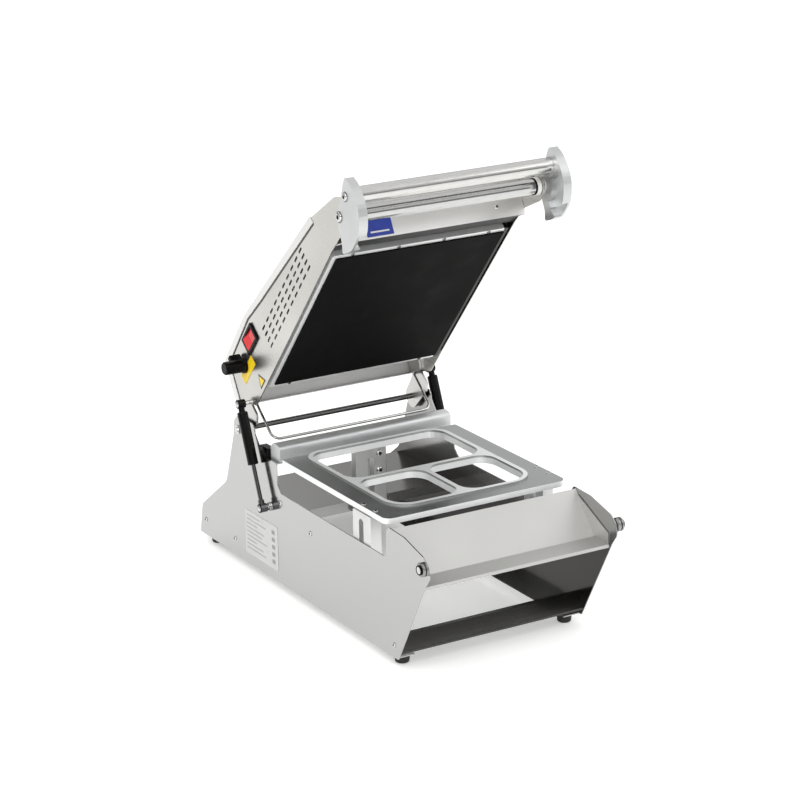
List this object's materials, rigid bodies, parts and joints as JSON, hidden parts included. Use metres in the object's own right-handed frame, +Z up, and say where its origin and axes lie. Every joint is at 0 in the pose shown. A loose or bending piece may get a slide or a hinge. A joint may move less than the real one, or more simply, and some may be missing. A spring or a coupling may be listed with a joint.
{
  "type": "tray sealing machine",
  "caption": "Hand-operated benchtop sealer: stainless base with a tray die, and a hinged heating head with a latching handle and gas struts.",
  "frame": {"origin": "centre of the bounding box in X and Y, knob and struts included, on the surface the feet stand on; the machine's own middle plane is at X = 0.0059", "axes": "+X to the machine's right as its user faces it, +Y to its rear, +Z up; the head is stored open"},
  "size_m": [0.3383, 0.6664, 0.6421],
  "materials": {
    "stainless": "bright annealed sheet",
    "satin_steel": "satin",
    "aluminium": "milled, light anodise",
    "nonstick_black": "aluminium with a matte black non-stick coating",
    "black_paint": "satin black paint",
    "black_plastic": "matte",
    "white_plastic": "matte",
    "red_plastic": "gloss, translucent",
    "rubber": "matte",
    "chrome": "polished",
    "insulation": "pressed fibre board"
  },
  "bodies": {
    "base": {"front_panel": "satin_steel", "front_crossbar": "stainless", "rear_cover": "stainless", "hinge_shaft": "satin_steel", "die_plate": "aluminium", "rear_die_post": "aluminium", "film_guide_bar": "aluminium", "film_stop_block": "black_plastic", "cable_gland": "black_plastic", "left_side_panel": "stainless", "left_hinge_nut": "chrome", "left_roller_bolt": "chrome", "left_lower_stud": "chrome", "right_side_panel": "stainless", "right_hinge_nut": "chrome", "right_roller_bolt": "chrome", "right_lower_stud": "chrome", "front_left_foot": "rubber", "front_right_foot": "rubber", "rear_left_foot": "rubber", "rear_right_foot": "rubber", "front_left_die_post": "aluminium", "front_right_die_post": "aluminium"},
    "head": {"head_cover": "stainless", "head_front_panel": "stainless", "heater_frame": "aluminium", "heating_plate": "nonstick_black", "heating_element": "satin_steel", "insulation_board": "insulation", "front_head_bar": "satin_steel", "rear_head_bar": "satin_steel", "switch_housing": "black_plastic", "thermostat_body": "satin_steel", "wire_bail": "satin_steel", "latch_pivot_tube": "chrome", "head_left_plate": "stainless", "head_left_arm": "satin_steel", "head_right_plate": "stainless", "head_right_arm": "satin_steel", "left_upper_stud": "chrome", "left_latch_screw": "chrome", "left_latch_washer": "white_plastic", "right_upper_stud": "chrome", "right_latch_screw": "chrome", "right_latch_washer": "white_plastic"},
    "handle": {"grip_tube": "satin_steel", "left_latch_plate": "satin_steel", "left_grip_screw": "chrome", "right_latch_plate": "satin_steel", "right_grip_screw": "chrome"},
    "knob": {"thermostat_knob": "black_plastic"},
    "rocker": {"switch_rocker": "red_plastic"},
    "left_roller": {"left_nose_roller": "aluminium"},
    "left_rod": {"left_strut_rod": "chrome"},
    "left_cylinder": {"left_strut_cylinder": "black_paint"},
    "right_roller": {"right_nose_roller": "aluminium"},
    "right_rod": {"right_strut_rod": "chrome"},
    "right_cylinder": {"right_strut_cylinder": "black_paint"}
  },
  "joints": [
    {"name": "head_hinge", "type": "hinge", "parent": "base", "child": "head", "pos_m": [0.0059, 0.189, 0.209], "axis": [1, 0, 0], "range_deg": [0, 50]},
    {"name": "handle_turn", "type": "hinge", "parent": "head", "child": "handle", "pos_m": [0.0059, -0.14301, 0.58834], "axis": [1, 0, 0], "range_deg": [0, 45]},
    {"name": "thermostat_turn", "type": "hinge", "parent": "head", "child": "knob", "pos_m": [-0.1361, 0.17279, 0.30766], "axis": [-1, 0, 0], "range_deg": [0, 270]},
    {"name": "switch_rock", "type": "hinge", "parent": "head", "child": "rocker", "pos_m": [-0.1331, 0.15209, 0.351], "axis": [0, 0.766, 0.6428], "range_deg": [-14, 0]},
    {"name": "left_roller_spin", "type": "hinge", "parent": "base", "child": "left_roller", "pos_m": [-0.1401, -0.3201, 0.1645], "axis": [1, 0, 0], "continuous": true},
    {"name": "left_strut_swing", "type": "hinge", "parent": "base", "child": "left_rod", "pos_m": [-0.1496, 0.1074, 0.1176], "axis": [1, 0, 0], "range_deg": [0, 5.96]},
    {"name": "left_strut_slide", "type": "slide", "parent": "left_rod", "child": "left_cylinder", "axis": [0, 0.3817, 0.9243], "range_m": [-0.0424, 0]},
    {"name": "right_roller_spin", "type": "hinge", "parent": "base", "child": "right_roller", "pos_m": [0.1519, -0.3201, 0.1645], "axis": [1, 0, 0], "continuous": true},
    {"name": "right_strut_swing", "type": "hinge", "parent": "base", "child": "right_rod", "pos_m": [0.1614, 0.1074, 0.1176], "axis": [1, 0, 0], "range_deg": [0, 5.96]},
    {"name": "right_strut_slide", "type": "slide", "parent": "right_rod", "child": "right_cylinder", "axis": [0, 0.3817, 0.9243], "range_m": [-0.0424, 0]}
  ],
  "couplings": [
    {"joint": "left_strut_swing", "follows": "head_hinge", "ratio": 0.11825},
    {"joint": "left_strut_slide", "follows": "head_hinge", "m_per_rad": -0.048526},
    {"joint": "right_strut_swing", "follows": "head_hinge", "ratio": 0.11825},
    {"joint": "right_strut_slide", "follows": "head_hinge", "m_per_rad": -0.048526}
  ]
}
